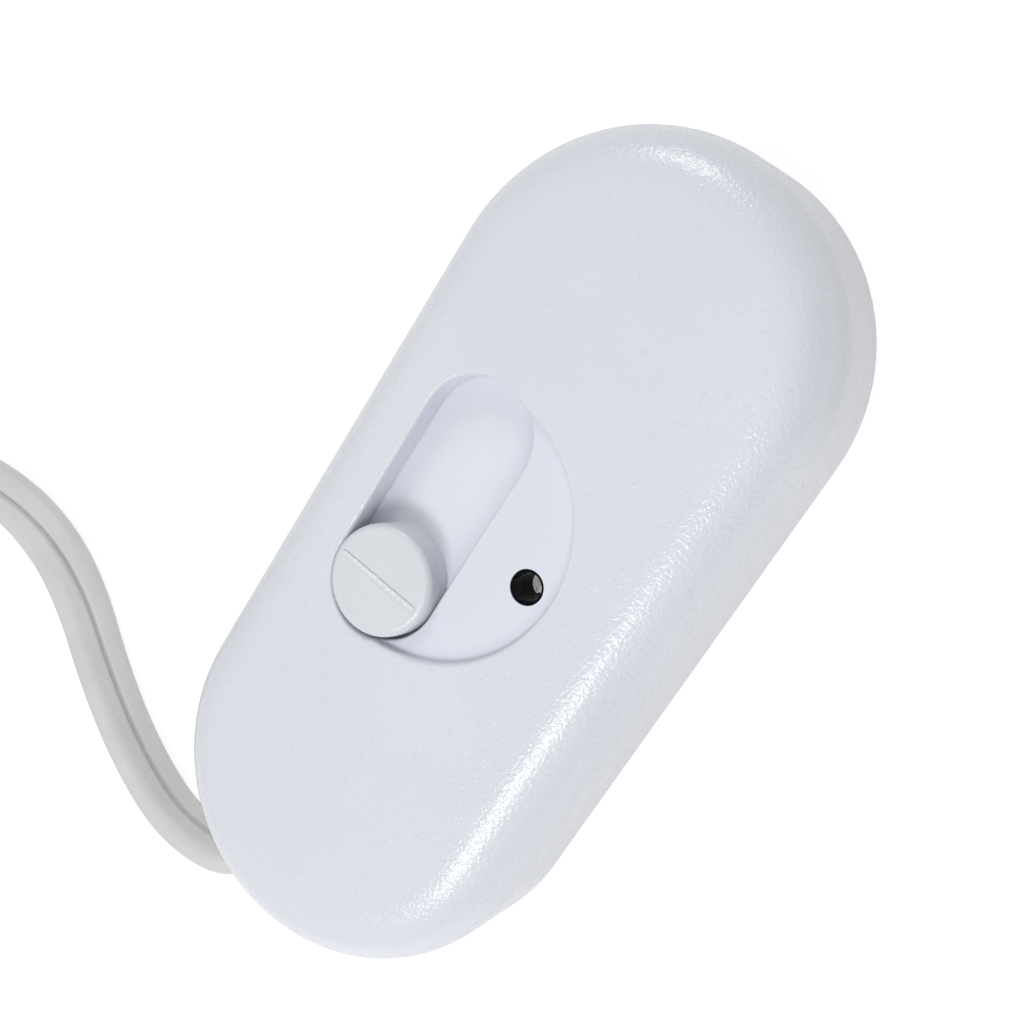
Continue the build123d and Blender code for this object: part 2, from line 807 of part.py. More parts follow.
def make_contact(which):
    x, width = blade_spots()[which]
    outside = outlet_slot - 2 * contact_side_gap
    floor_y = plug_depth / 2 - outlet_depth
    reach = outlet_depth - contact_sink
    z = plug_height / 2 - contact_width / 2
    contact = block(outside, reach, contact_width, x, floor_y + reach / 2, z)
    inside = outside - 2 * contact_sheet
    gap_y = floor_y + contact_sheet + reach / 2
    return plug_place(contact - block(inside, reach, contact_width, x, gap_y, z))


# Write one file for each piece
pieces = {
    "top_cover": make_top_cover(),
    "base_cover": make_base_cover(),
    "case_screws": make_case_screws(),
    "circuit_board": make_circuit_board(),
    "fader_frame": make_fader_frame(),
    "fader_track": make_fader_track(),
    "fader_carriage": make_fader_carriage(),
    "fader_wiper": make_fader_wiper(),
    "slider_shutter": make_slider_shutter(),
    "slider_knob": make_slider_knob(),
    "trim_body": make_trim_body(),
    "trim_rotor": make_trim_rotor(),
    "trim_sleeve": make_trim_sleeve(),
    "heat_sink": make_heat_sink(),
    "triac_body": make_triac_body(),
    "triac_tab": make_triac_tab(),
    "triac_screw": make_triac_screw(),
    "choke_core": make_choke_core(),
    "choke_winding": make_choke_winding(),
    "capacitors": make_capacitors(),
    "resistors": make_resistors(),
    "trigger_diode": make_trigger_diode(),
    "fuse": make_fuse(),
    "lead_wires": make_lead_wires(),
    "cord_inner": make_cord_inner(),
    "cord_clamp": make_cord_clamp(),
    "clamp_screws": make_clamp_screws(),
    "cord_tube": cord_along(lead_route, True),
    "cord_coil": make_cord_coil(),
    "cord_end": cord_along(tail_route(), False),
    "cord_tie": make_cord_tie(),
    "plug_body": make_plug_body(),
    "blade_narrow": make_blade(0),
    "blade_wide": make_blade(1),
    "contact_narrow": make_contact(0),
    "contact_wide": make_contact(1),
}
os.makedirs("parts", exist_ok=True)
for node, piece in pieces.items():
    export_step(piece, f"parts/{node}.step")
print("pieces written", len(pieces))
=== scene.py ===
import bpy
import bmesh
import json
import math
from mathutils import Matrix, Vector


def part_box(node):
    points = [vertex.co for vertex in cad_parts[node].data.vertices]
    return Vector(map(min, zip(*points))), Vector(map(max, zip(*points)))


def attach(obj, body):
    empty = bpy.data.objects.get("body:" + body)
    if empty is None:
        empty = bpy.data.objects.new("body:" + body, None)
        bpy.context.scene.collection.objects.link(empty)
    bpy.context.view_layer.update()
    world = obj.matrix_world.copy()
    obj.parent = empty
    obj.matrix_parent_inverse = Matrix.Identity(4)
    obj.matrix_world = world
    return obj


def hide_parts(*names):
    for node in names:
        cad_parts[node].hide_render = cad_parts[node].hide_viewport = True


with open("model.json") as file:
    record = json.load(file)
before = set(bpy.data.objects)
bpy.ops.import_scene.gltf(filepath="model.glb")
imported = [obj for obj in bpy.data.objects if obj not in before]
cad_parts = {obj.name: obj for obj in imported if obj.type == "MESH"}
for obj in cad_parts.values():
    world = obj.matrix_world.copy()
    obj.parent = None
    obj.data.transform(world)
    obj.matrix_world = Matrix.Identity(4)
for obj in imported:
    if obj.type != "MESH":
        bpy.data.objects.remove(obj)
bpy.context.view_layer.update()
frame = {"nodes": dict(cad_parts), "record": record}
scene = bpy.context.scene
mm = 0.001  # routes are written in millimetres
print("stage: frame loaded,", len(frame["nodes"]), "nodes")


class Wire:
    # one socket of a node tree; arithmetic on wires adds Math nodes
    def __init__(self, tree, socket=None):
        self.tree = tree
        self.socket = socket

    def node(self, kind, settings=None, values=None, out=0):
        made = self.tree.nodes.new(kind)
        for name, value in (settings or {}).items():
            if name == "stops":
                ramp = made.color_ramp.elements
                while len(ramp) < len(value):
                    ramp.new(0.5)
                for element, (place, colour) in zip(ramp, value):
                    element.position = place
                    element.color = colour
            else:
                setattr(made, name, value)
        for name, value in (values or {}).items():
            if isinstance(value, Wire):
                self.tree.links.new(value.socket, made.inputs[name])
            else:
                made.inputs[name].default_value = value
        return Wire(self.tree, made.outputs[out] if made.outputs else None)

    def maths(self, operation, first, second):
        return self.node("ShaderNodeMath", {"operation": operation}, {0: first, 1: second})

    def __add__(self, other):
        return self.maths("ADD", self, other)

    def __radd__(self, other):
        return self.maths("ADD", other, self)

    def __sub__(self, other):
        return self.maths("SUBTRACT", self, other)

    def __rsub__(self, other):
        return self.maths("SUBTRACT", other, self)

    def __mul__(self, other):
        return self.maths("MULTIPLY", self, other)

    def __rmul__(self, other):
        return self.maths("MULTIPLY", other, self)


def startMaterial(name):
    material = bpy.data.materials.new(name)
    material.use_nodes = True
    material.node_tree.nodes.clear()
    return material, Wire(material.node_tree)


def finishMaterial(wire, values):
    shader = wire.node("ShaderNodeBsdfPrincipled", None, values)
    wire.node("ShaderNodeOutputMaterial", None, {"Surface": shader})


def objectPlace(wire, turn=(0, 0, 0), stretch=(1, 1, 1)):
    place = wire.node("ShaderNodeTexCoord", None, None, "Object")
    turned = [math.radians(angle) for angle in turn]
    return wire.node("ShaderNodeMapping", None, {"Vector": place, "Rotation": turned, "Scale": stretch})


def axes(wire, place):
    return [wire.node("ShaderNodeSeparateXYZ", None, {"Vector": place}, name) for name in "XYZ"]


def noise(wire, place, scale, detail=2.0, roughness=0.5):
    values = {"Vector": place, "Scale": scale, "Detail": detail, "Roughness": roughness}
    return wire.node("ShaderNodeTexNoise", None, values, "Fac")


def waves(wire, place, scale, direction):
    settings = {"wave_type": "BANDS", "bands_direction": direction}
    return wire.node("ShaderNodeTexWave", settings, {"Vector": place, "Scale": scale}, "Fac")


def span(wire, value, low, high, toLow=0.0, toHigh=1.0):
    values = {"Value": value, "From Min": low, "From Max": high, "To Min": toLow, "To Max": toHigh}
    return wire.node("ShaderNodeMapRange", {"interpolation_type": "SMOOTHSTEP"}, values)


def swing(value, spread):
    return (value - 0.5) * spread  # a noise about its mean


def within(wire, value, low, high, edge):
    return span(wire, value, low - edge, low) * span(wire, value, high, high + edge, 1.0, 0.0)


def blendColour(wire, factor, first, second):
    # a Mix node's factor is socket 0, its two colours are 6 and 7, and its colour result is 2
    return wire.node("ShaderNodeMix", {"data_type": "RGBA"}, {0: factor, 6: first, 7: second}, 2)


def bumped(wire, height, depth):
    return wire.node("ShaderNodeBump", None, {"Strength": 1.0, "Distance": depth, "Height": height})


# moulded plastic: slow drift of tone, pebble grain and its gloss; some have a smooth zone or a painted
# highlight on a raised top
mouldGrain = {  # what all the moulded finishes share
    "driftDetail": 3.0,
    "driftEdges": (0.32, 0.68),
    "fineRatio": 2.6,  # to the scale of the grain
    "fineDetail": 1.0,
    "fineShare": 0.15,
    "fineHeight": 0.15,
    "pebbleDetail": 1.5,
    "pebbleRoughness": 0.55,
    "pebbleEdges": (0.36, 0.64),
    "speckRatio": 0.7,
    "speckDetail": 0.0,
    "speckEdges": (0.70, 0.78),
}


def mouldedPlastic(name, look):
    material, wire = startMaterial(name)
    place = objectPlace(wire)
    grain, grainScale = mouldGrain, look["grainScale"]
    drift = noise(wire, place, look["driftScale"], grain["driftDetail"])
    fine = noise(wire, place, grainScale * grain["fineRatio"], grain["fineDetail"])
    pebble = noise(wire, place, grainScale, grain["pebbleDetail"], grain["pebbleRoughness"])
    speck = noise(wire, place, grainScale * grain["speckRatio"], grain["speckDetail"])
    tone = span(wire, drift, *grain["driftEdges"]) * (1 - grain["fineShare"]) + fine * grain["fineShare"]
    colour = blendColour(wire, tone, look["dark"], look["light"])
    speckled = span(wire, speck, *grain["speckEdges"]) * look["speckShare"]
    colour = blendColour(wire, speckled, colour, look["speck"])
    height = span(wire, pebble, *grain["pebbleEdges"]) + fine * grain["fineHeight"]
    roughness = look["roughness"] + swing(fine, look["roughnessSpread"])
    if "smoothZone" in look:
        zone = look["smoothZone"]
        x, y, z = axes(wire, place)
        smooth = within(wire, x, *zone["x"], zone["edge"]) * within(wire, y, *zone["y"], zone["edge"])
        smooth = smooth * within(wire, z, *zone["z"], zone["edge"])
        height = height * (1 - smooth * zone["calm"])
        roughness = roughness + smooth * zone["roughnessMore"]
        colour = blendColour(wire, smooth, colour, zone["colour"])
    # painted highlight: lighter speckled colour on the top of a raised line, standing in for light caught
    # by its edges
    if "ridgeHighlight" in look:
        ridgeHighlight = look["ridgeHighlight"]
        patches = noise(wire, place, ridgeHighlight["scale"], ridgeHighlight["detail"])
        highlightMask = span(wire, axes(wire, place)[2], *ridgeHighlight["from"])
        highlightMask = highlightMask * span(wire, patches, *ridgeHighlight["patchEdges"], ridgeHighlight["least"])
        colour = blendColour(wire, highlightMask, colour, ridgeHighlight["colour"])
        roughness = roughness - highlightMask * ridgeHighlight["gloss"]
    normal = bumped(wire, height, look["grainDepth"])
    values = {"Base Color": colour, "Roughness": roughness, "Normal": normal, "IOR": look["ior"]}
    if "glow" in look:
        values.update({"Emission Color": colour, "Emission Strength": look["glow"]})
    finishMaterial(wire, values)
    return material


caseLook = {
    "dark": (0.669, 0.691, 0.746, 1.0),
    "light": (0.704, 0.723, 0.775, 1.0),
    "speck": (0.616, 0.629, 0.660, 1.0),
    "speckShare": 0.25,
    "driftScale": 26.0,
    "grainScale": 2000.0,
    "grainDepth": 0.000026,
    "roughness": 0.21,
    "roughnessSpread": 0.08,
    "ior": 1.53,
    "smoothZone": {  # the thumb recess
        "x": (-0.0165, 0.0212),
        "y": (-0.0116, 0.0163),
        "z": (0.0195, 0.0236),
        "edge": 0.0003,
        "calm": 0.85,
        "roughnessMore": 0.12,
        "colour": (0.700, 0.720, 0.795, 1.0),
    },
}
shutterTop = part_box("slider_shutter")[1][2] + 0.00005  # a hair above its face
knobLook = {
    "dark": (0.657, 0.678, 0.720, 1.0),
    "light": (0.682, 0.702, 0.742, 1.0),
    "speck": (0.634, 0.647, 0.672, 1.0),
    "speckShare": 0.15,
    "driftScale": 70.0,
    "grainScale": 3600.0,
    "grainDepth": 0.000012,
    "roughness": 0.27,
    "roughnessSpread": 0.08,
    "ior": 1.5,
    "smoothZone": {  # the shutter under the knob
        "x": (-0.06, 0.06),
        "y": (-0.03, 0.03),
        "z": (0.0, shutterTop),
        "edge": 0.0001,
        "calm": 0.5,
        "roughnessMore": 0.06,
        "colour": (0.725, 0.742, 0.812, 1.0),
    },
    "ridgeHighlight": {  # painted highlight: the raised line's top is lightened in speckles and made a little glossier
        "from": (0.02501, 0.02505),  # just above the knob's flat top
        "scale": 2300.0,
        "detail": 1.0,
        "patchEdges": (0.50, 0.66),
        "least": 0.12,
        "colour": (0.830, 0.845, 0.880, 1.0),
        "gloss": 0.12,
    },
}
cordLook = {
    "dark": (0.578, 0.581, 0.571, 1.0),
    "light": (0.636, 0.637, 0.626, 1.0),
    "speck": (0.516, 0.516, 0.506, 1.0),
    "speckShare": 0.3,
    "driftScale": 55.0,
    "grainScale": 2400.0,
    "grainDepth": 0.000012,
    "roughness": 0.46,
    "roughnessSpread": 0.14,
    "ior": 1.5,
}
plugLook = {
    "dark": (0.552, 0.555, 0.547, 1.0),
    "light": (0.596, 0.598, 0.589, 1.0),
    "speck": (0.500, 0.500, 0.490, 1.0),
    "speckShare": 0.25,
    "driftScale": 45.0,
    "grainScale": 2100.0,
    "grainDepth": 0.00003,
    "roughness": 0.44,
    "roughnessSpread": 0.12,
    "ior": 1.5,
}
sleeveLook = {
    "dark": (0.002, 0.002, 0.004, 1.0),
    "light": (0.004, 0.005, 0.009, 1.0),
    "speck": (0.030, 0.030, 0.034, 1.0),
    "speckShare": 0.3,
    "driftScale": 300.0,
    "grainScale": 4200.0,
    "grainDepth": 0.000002,
    "roughness": 0.10,
    "roughnessSpread": 0.04,
    "ior": 1.10,
}
rotorLook = {
    "dark": (0.560, 0.565, 0.575, 1.0),
    "light": (0.760, 0.765, 0.775, 1.0),
    "speck": (0.120, 0.120, 0.125, 1.0),
    "speckShare": 0.9,
    "driftScale": 1800.0,
    "grainScale": 5200.0,
    "grainDepth": 0.00003,
    "roughness": 0.5,
    "roughnessSpread": 0.2,
    "ior": 1.5,
    "glow": 0.34,  # stands in for the lamp that reaches the bottom of the hole
}
epoxyLook = {
    "dark": (0.012, 0.012, 0.013, 1.0),
    "light": (0.022, 0.022, 0.024, 1.0),
    "speck": (0.050, 0.050, 0.052, 1.0),
    "speckShare": 0.4,
    "driftScale": 160.0,
    "grainScale": 3800.0,
    "grainDepth": 0.00001,
    "roughness": 0.55,
    "roughnessSpread": 0.15,
    "ior": 1.55,
}
ferriteLook = {
    "dark": (0.055, 0.054, 0.056, 1.0),
    "light": (0.085, 0.083, 0.085, 1.0),
    "speck": (0.020, 0.020, 0.022, 1.0),
    "speckShare": 0.6,
    "driftScale": 200.0,
    "grainScale": 2600.0,
    "grainDepth": 0.00003,
    "roughness": 0.72,
    "roughnessSpread": 0.15,
    "ior": 1.6,
}
capLook = {
    "dark": (0.330, 0.045, 0.025, 1.0),
    "light": (0.410, 0.062, 0.035, 1.0),
    "speck": (0.250, 0.030, 0.020, 1.0),
    "speckShare": 0.3,
    "driftScale": 150.0,
    "grainScale": 1500.0,
    "grainDepth": 0.00002,
    "roughness": 0.28,
    "roughnessSpread": 0.10,
    "ior": 1.55,
}
glassLook = {
    "dark": (0.300, 0.070, 0.030, 1.0),
    "light": (0.420, 0.120, 0.050, 1.0),
    "speck": (0.080, 0.020, 0.012, 1.0),
    "speckShare": 0.3,
    "driftScale": 500.0,
    "grainScale": 2600.0,
    "grainDepth": 0.000006,
    "roughness": 0.12,
    "roughnessSpread": 0.06,
    "ior": 1.5,
}
fuseLook = {
    "dark": (0.440, 0.400, 0.300, 1.0),
    "light": (0.520, 0.480, 0.370, 1.0),
    "speck": (0.300, 0.270, 0.200, 1.0),
    "speckShare": 0.4,
    "driftScale": 260.0,
    "grainScale": 2400.0,
    "grainDepth": 0.00001,
    "roughness": 0.4,
    "roughnessSpread": 0.12,
    "ior": 1.5,
}
trackLook = {
    "dark": (0.110, 0.060, 0.030, 1.0),
    "light": (0.160, 0.090, 0.045, 1.0),
    "speck": (0.030, 0.020, 0.015, 1.0),
    "speckShare": 0.6,
    "driftScale": 300.0,
    "grainScale": 3000.0,
    "grainDepth": 0.000008,
    "roughness": 0.5,
    "roughnessSpread": 0.15,
    "ior": 1.5,
}


# metal: lengthwise drawing marks, dull patches and a little tarnish
metalMarks = {  # what all the metals share
    "streakDetail": 3.0,
    "streakRoughness": 0.6,
    "streakShare": 0.3,
    "streakGloss": 0.12,
    "patchDetail": 3.0,
    "patchEdges": (0.35, 0.70),
}


def drawnMetal(name, look):
    material, wire = startMaterial(name)
    marks = metalMarks
    drawn = objectPlace(wire, look["turn"], look["stretch"])
    streak = noise(wire, drawn, look["streakScale"], marks["streakDetail"], marks["streakRoughness"])
    patch = noise(wire, objectPlace(wire), look["patchScale"], marks["patchDetail"])
    patch = span(wire, patch, *marks["patchEdges"])
    tone = patch * (1 - marks["streakShare"]) + streak * marks["streakShare"]
    colour = blendColour(wire, tone, look["light"], look["dark"])
    roughness = look["roughness"] + patch * look["roughnessSpread"] + swing(streak, marks["streakGloss"])
    normal = bumped(wire, streak, look["streakDepth"])
    values = {"Base Color": colour, "Roughness": roughness, "Normal": normal, "Metallic": look["metallic"]}
    finishMaterial(wire, values)
    return material


brassLook = {
    "dark": (0.640, 0.510, 0.280, 1.0),
    "light": (0.770, 0.640, 0.380, 1.0),
    "turn": (0, 0, 20),
    "stretch": (1, 0.08, 1),
    "streakScale": 2200.0,
    "patchScale": 160.0,
    "roughness": 0.22,
    "roughnessSpread": 0.14,
    "streakDepth": 0.000004,
    "metallic": 1.0,
}
steelLook = {
    "dark": (0.420, 0.430, 0.440, 1.0),
    "light": (0.640, 0.645, 0.650, 1.0),
    "turn": (0, 0, 0),
    "stretch": (0.1, 1, 1),
    "streakScale": 1800.0,
    "patchScale": 220.0,
    "roughness": 0.26,
    "roughnessSpread": 0.16,
    "streakDepth": 0.000004,
    "metallic": 1.0,
}
aluminiumLook = {
    "dark": (0.560, 0.570, 0.580, 1.0),
    "light": (0.760, 0.765, 0.770, 1.0),
    "turn": (0, 0, 0),
    "stretch": (0.06, 1, 1),
    "streakScale": 1600.0,
    "patchScale": 130.0,
    "roughness": 0.34,
    "roughnessSpread": 0.15,
    "streakDepth": 0.000006,
    "metallic": 1.0,
}
copperLook = {
    "dark": (0.420, 0.130, 0.050, 1.0),
    "light": (0.650, 0.250, 0.110, 1.0),
    "turn": (0, 0, 0),
    "stretch": (1, 1, 0.2),
    "streakScale": 1500.0,
    "patchScale": 260.0,
    "roughness": 0.24,
    "roughnessSpread": 0.12,
    "streakDepth": 0.000003,
    "metallic": 1.0,
}


# circuit board: lacquer over straight copper tracks
def boardLacquer(name, look):
    material, wire = startMaterial(name)
    place = objectPlace(wire)
    stretched = objectPlace(wire, stretch=look["runStretch"])
    lanes = span(wire, waves(wire, place, look["laneScale"], "Y"), *look["laneEdges"])
    runs = span(wire, noise(wire, stretched, look["runScale"], look["runDetail"]), *look["runEdges"])
    tracks = lanes * runs
    weave = waves(wire, place, look["weaveScale"], "X") * waves(wire, place, look["weaveScale"], "Y")
    tone = tracks * (1 - look["weaveShare"]) + weave * look["weaveShare"]
    colour = blendColour(wire, tone, look["dark"], look["light"])
    roughness = look["roughness"] + weave * look["weaveGloss"]
    normal = bumped(wire, tracks, look["trackDepth"])
    finishMaterial(wire, {"Base Color": colour, "Roughness": roughness, "Normal": normal})
    return material


boardLook = {
    "dark": (0.018, 0.110, 0.045, 1.0),
    "light": (0.040, 0.210, 0.080, 1.0),
    "laneScale": 130.0,
    "laneEdges": (0.55, 0.65),
    "runStretch": (0.35, 1, 1),
    "runScale": 130.0,
    "runDetail": 0.0,
    "runEdges": (0.48, 0.52),
    "weaveScale": 700.0,
    "weaveShare": 0.2,
    "weaveGloss": 0.1,
    "roughness": 0.32,
    "trackDepth": 0.00003,
}


# resistors: tan lacquer with rings of colour along their length
def bandedLacquer(name, look):
    material, wire = startMaterial(name)
    place = objectPlace(wire)
    along = axes(wire, place)[0]
    stops = [(0.0, look["ground"])]
    for start, end, colour in look["bands"]:
        stops += [(start, colour), (end, look["ground"])]
    share = span(wire, along, *look["reach"])
    bands = wire.node("ShaderNodeValToRGB", {"stops": stops}, {"Fac": share})
    cloud = noise(wire, place, look["cloudScale"])
    colour = blendColour(wire, cloud * look["cloudShare"], bands, look["shade"])
    metalEnds = 1 - within(wire, along, *look["reach"], look["leadEdge"])
    colour = blendColour(wire, metalEnds, colour, look["lead"])
    roughness = look["roughness"] + cloud * look["roughnessSpread"]
    normal = bumped(wire, cloud, look["cloudDepth"])
    values = {"Base Color": colour, "Roughness": roughness, "Metallic": metalEnds, "Normal": normal}
    finishMaterial(wire, values)
    return material


resistorLook = {
    "ground": (0.560, 0.420, 0.260, 1.0),
    "shade": (0.430, 0.310, 0.180, 1.0),
    "lead": (0.640, 0.640, 0.640, 1.0),
    "leadEdge": 0.0002,
    "reach": (-0.0032, 0.0032),
    "bands": [
        (0.18, 0.27, (0.14, 0.05, 0.02, 1.0)),
        (0.36, 0.45, (0.02, 0.02, 0.02, 1.0)),
        (0.54, 0.63, (0.55, 0.20, 0.02, 1.0)),
        (0.76, 0.84, (0.45, 0.32, 0.08, 1.0)),
    ],
    "cloudScale": 700.0,
    "cloudShare": 0.3,
    "cloudDepth": 0.00001,
    "roughness": 0.3,
    "roughnessSpread": 0.1,
}


# woven strap: crossing threads, a little fuzz
def wovenStrap(name, look):
    material, wire = startMaterial(name)
    place = objectPlace(wire, look["turn"])
    across = waves(wire, place, look["threadScale"], "X")
    along = waves(wire, place, look["threadScale"] * look["alongRatio"], "Y")
    rise = waves(wire, place, look["threadScale"], "Z")
    threads = wire.maths("MAXIMUM", across * rise, along)
    fuzz = noise(wire, place, look["fuzzScale"], look["fuzzDetail"], look["fuzzRoughness"])
    weave = threads * (1 - look["fuzzShare"]) + fuzz * look["fuzzShare"]
    colour = blendColour(wire, weave, look["dark"], look["light"])
    roughness = look["roughness"] + fuzz * look["roughnessSpread"]
    normal = bumped(wire, weave, look["threadDepth"])
    values = {"Base Color": colour, "Roughness": roughness, "Normal": normal, "Sheen Weight": look["sheen"]}
    finishMaterial(wire, values)
    return material


strapLook = {
    "dark": (0.484, 0.484, 0.479, 1.0),
    "light": (0.674, 0.674, 0.665, 1.0),
    "turn": (0, 0, -150),
    "threadScale": 420.0,
    "alongRatio": 0.6,
    "fuzzScale": 3500.0,
    "fuzzDetail": 3.0,
    "fuzzRoughness": 0.6,
    "fuzzShare": 0.3,
    "roughness": 0.75,
    "roughnessSpread": 0.2,
    "threadDepth": 0.00012,
    "sheen": 0.3,
}

finishes = {
    "case_white": mouldedPlastic("casePlastic", caseLook),
    "knob_white": mouldedPlastic("knobPlastic", knobLook),
    "sleeve_black": mouldedPlastic("sleevePlastic", sleeveLook),
    "rotor_grey": mouldedPlastic("rotorGrain", rotorLook),
    "board_green": boardLacquer("boardLacquer", boardLook),
    "plated_steel": drawnMetal("platedSteel", steelLook),
    "track_brown": mouldedPlastic("trackResin", trackLook),
    "sink_aluminium": drawnMetal("sinkAluminium", aluminiumLook),
    "epoxy_black": mouldedPlastic("blackEpoxy", epoxyLook),
    "ferrite_grey": mouldedPlastic("chokeFerrite", ferriteLook),
    "copper_wire": drawnMetal("enamelledCopper", copperLook),
    "cap_red": mouldedPlastic("capLacquer", capLook),
    "resistor_tan": bandedLacquer("resistorLacquer", resistorLook),
    "glass_body": mouldedPlastic("diodeGlass", glassLook),
    "fuse_body": mouldedPlastic("fuseLacquer", fuseLook),
    "cord_vinyl": mouldedPlastic("cordVinyl", cordLook),
    "tie_white": wovenStrap("strapWeave", strapLook),
    "plug_vinyl": mouldedPlastic("plugVinyl", plugLook),
    "blade_brass": drawnMetal("bladeBrass", brassLook),
}
for part in frame["record"]["subparts"]:
    node = frame["nodes"][part["node"]]
    node.data.materials.clear()
    node.data.materials.append(finishes[part["material_slot"]])


# flat two-core cord: it leaves the case flat, rolls on its edge in the bend, then lies flat into the coil
cordSettings = {
    "width": 0.0082,
    "thickness": 0.0041,
    "grooveDepth": 0.0008,
    "grooveWidth": 0.00036,
    "rimSteps": 12,
    "topShares": (0.75, 0.5, 0.32, 0.22, 0.14, 0.07, 0, -0.07, -0.14, -0.22, -0.32, -0.5, -0.75),
    "exit": (-0.05714, 0.01115, 0.00405),
    "lead": [  # x, y, z in mm and roll in degrees
        (-57.14, 11.15, 4.05, 0),
        (-60.6, 11.95, 4.05, 18),
        (-64.2, 13.9, 4.12, 50),
        (-66.4, 18.4, 4.13, 69),
        (-66.85, 25.0, 4.11, 72),
        (-64.8, 32.6, 4.09, 71),
        (-61.3, 40.6, 4.09, 70),
        (-56.5, 48.8, 4.04, 68),
        (-51.3, 56.4, 3.89, 60),
        (-47.5, 65.6, 3.49, 42),
        (-46.7, 77.2, 2.79, 20),
        (-49.6, 90.8, 2.24, 5),
        (-56.2, 106.0, 2.05, 0),
        (-61.8, 121.0, 2.05, 0),
        (-66.8, 136.5, 2.05, 0),
        (-69.8, 152.5, 2.05, 0),
    ],
    "resolution": 6,
    "coilCentre": (-22.5, 168.5),
    "startAngle": 180.0,
    "outerTurn": 47.7,
    "innerTurn": 34.8,
    "layers": 4,
    "layerTurns": 1.576,
    "layerPitch": 4.15,
    "climb": 0.18,  # share of a turn spent on each side of a layer change
    "pointsPerTurn": 20,
    "tieAngle": 150.0,
    "tieLift": 0.95,
    "tieReach": 16.0,
    "plugEntry": (33.0, 199.2),
    "plugTurn": -20.0,
    "tailSteps": [(27.0, 14.5), (17.0, 13.7), (8.0, 10.2), (0.0, 10.2), (-1.5, 10.2)],
    "length": 1.83,
}


def ease(share):
    share = min(max(share, 0.0), 1.0)
    return share * share * (3 - 2 * share)


def coilPoints(settings):
    # each layer spirals in or out by its turns and climbs to the next in a short stretch
    points = []
    total = settings["layers"] * settings["layerTurns"]
    steps = round(total * settings["pointsPerTurn"])
    swell = 1 / math.cos(math.pi / settings["pointsPerTurn"])
    climb = settings["climb"] / settings["layerTurns"]
    for step in range(1, steps):
        turned = total * step / steps
        layer, share = divmod(turned / settings["layerTurns"], 1.0)
        inward = share if layer % 2 == 0 else 1 - share
        radius = settings["outerTurn"] + (settings["innerTurn"] - settings["outerTurn"]) * inward
        level = layer  # half of each climb lies before a layer change and half after
        if layer < settings["layers"] - 1:
            level += 0.5 * ease((share - 1 + climb) / climb)
        if layer > 0:
            level -= 0.5 * (1 - ease(share / climb))
        angle = settings["startAngle"] - 360 * turned
        away = (angle - settings["tieAngle"] + 180) % 360 - 180
        lift = settings["tieLift"] * math.exp(-((away / settings["tieReach"]) ** 2))
        x = settings["coilCentre"][0] + radius * swell * math.cos(math.radians(angle))
        y = settings["coilCentre"][1] + radius * swell * math.sin(math.radians(angle))
        z = settings["thickness"] / 2 / mm + settings["layerPitch"] * level + lift
        points.append((x, y, z, 0))
    return points


def tailPoints(settings):
    x, y = settings["plugEntry"]
    turn = math.radians(settings["plugTurn"])
    alongX, alongY = math.cos(turn), math.sin(turn)
    return [(x - reach * alongX, y - reach * alongY, z, 0) for reach, z in settings["tailSteps"]]


def cordProfile(settings):
    # one rounded side and the grooved top, then the same points turned half round
    half = settings["thickness"] / 2
    side = settings["width"] / 2 - half
    rim = []
    for step in range(settings["rimSteps"] + 1):
        angle = math.pi * (step / settings["rimSteps"] - 0.5)
        rim.append((side + half * math.cos(angle), half * math.sin(angle)))
    for share in settings["topShares"]:
        x = side * share
        dip = settings["grooveDepth"] * math.exp(-((x / settings["grooveWidth"]) ** 2))
        rim.append((x, half - dip))
    return rim + [(-x, -y) for x, y in rim]


def splineCurve(name, kind, points):
    data = bpy.data.curves.new(name, "CURVE")
    data.dimensions = "3D"
    spline = data.splines.new(kind)
    spline.points.add(len(points) - 1)
    for point, (x, y, z, roll) in zip(spline.points, points):
        point.co = (x, y, z, 1.0)
        point.tilt = math.radians(roll)
    made = bpy.data.objects.new(name, data)
    scene.collection.objects.link(made)
    return made, spline


def meshOf(curve):
    bpy.context.view_layer.update()
    return bpy.data.meshes.new_from_object(curve.evaluated_get(bpy.context.evaluated_depsgraph_get()))


def newPiece(name, mesh, finish, body):
    piece = bpy.data.objects.new(name, mesh)
    scene.collection.objects.link(piece)
    mesh.materials.clear()
    mesh.materials.append(finishes[finish])
    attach(piece, body)
    return piece


def makeCord(settings):
    route = settings["lead"] + coilPoints(settings) + tailPoints(settings)
    points = [(x * mm, y * mm, z * mm, roll) for x, y, z, roll in route]
    line, spline = splineCurve("cordLine", "NURBS", points)
    spline.order_u = 3
    spline.use_endpoint_u = True
    spline.resolution_u = settings["resolution"]
    line.data.twist_mode = "Z_UP"
    path = [vertex.co.copy() for vertex in meshOf(line).vertices]
    rim = [(x, y, 0.0, 0) for x, y in cordProfile(settings)]
    profile, ring = splineCurve("cordProfile", "POLY", rim)
    ring.use_cyclic_u = True
    line.data.bevel_mode = "OBJECT"
    line.data.bevel_object = profile
    line.data.use_fill_caps = True
    mesh = meshOf(line)
    mesh.shade_smooth()
    for spare in (line, profile):
        bpy.data.objects.remove(spare)
    cord = newPiece("mainsCord", mesh, "cord_vinyl", "case")
    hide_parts("cord_tube", "cord_coil", "cord_end")
    length = sum((after - before).length for before, after in zip(path, path[1:]))
    print("stage: cord laid,", round(length, 4), "m,", len(mesh.polygons), "faces")
    return cord, path


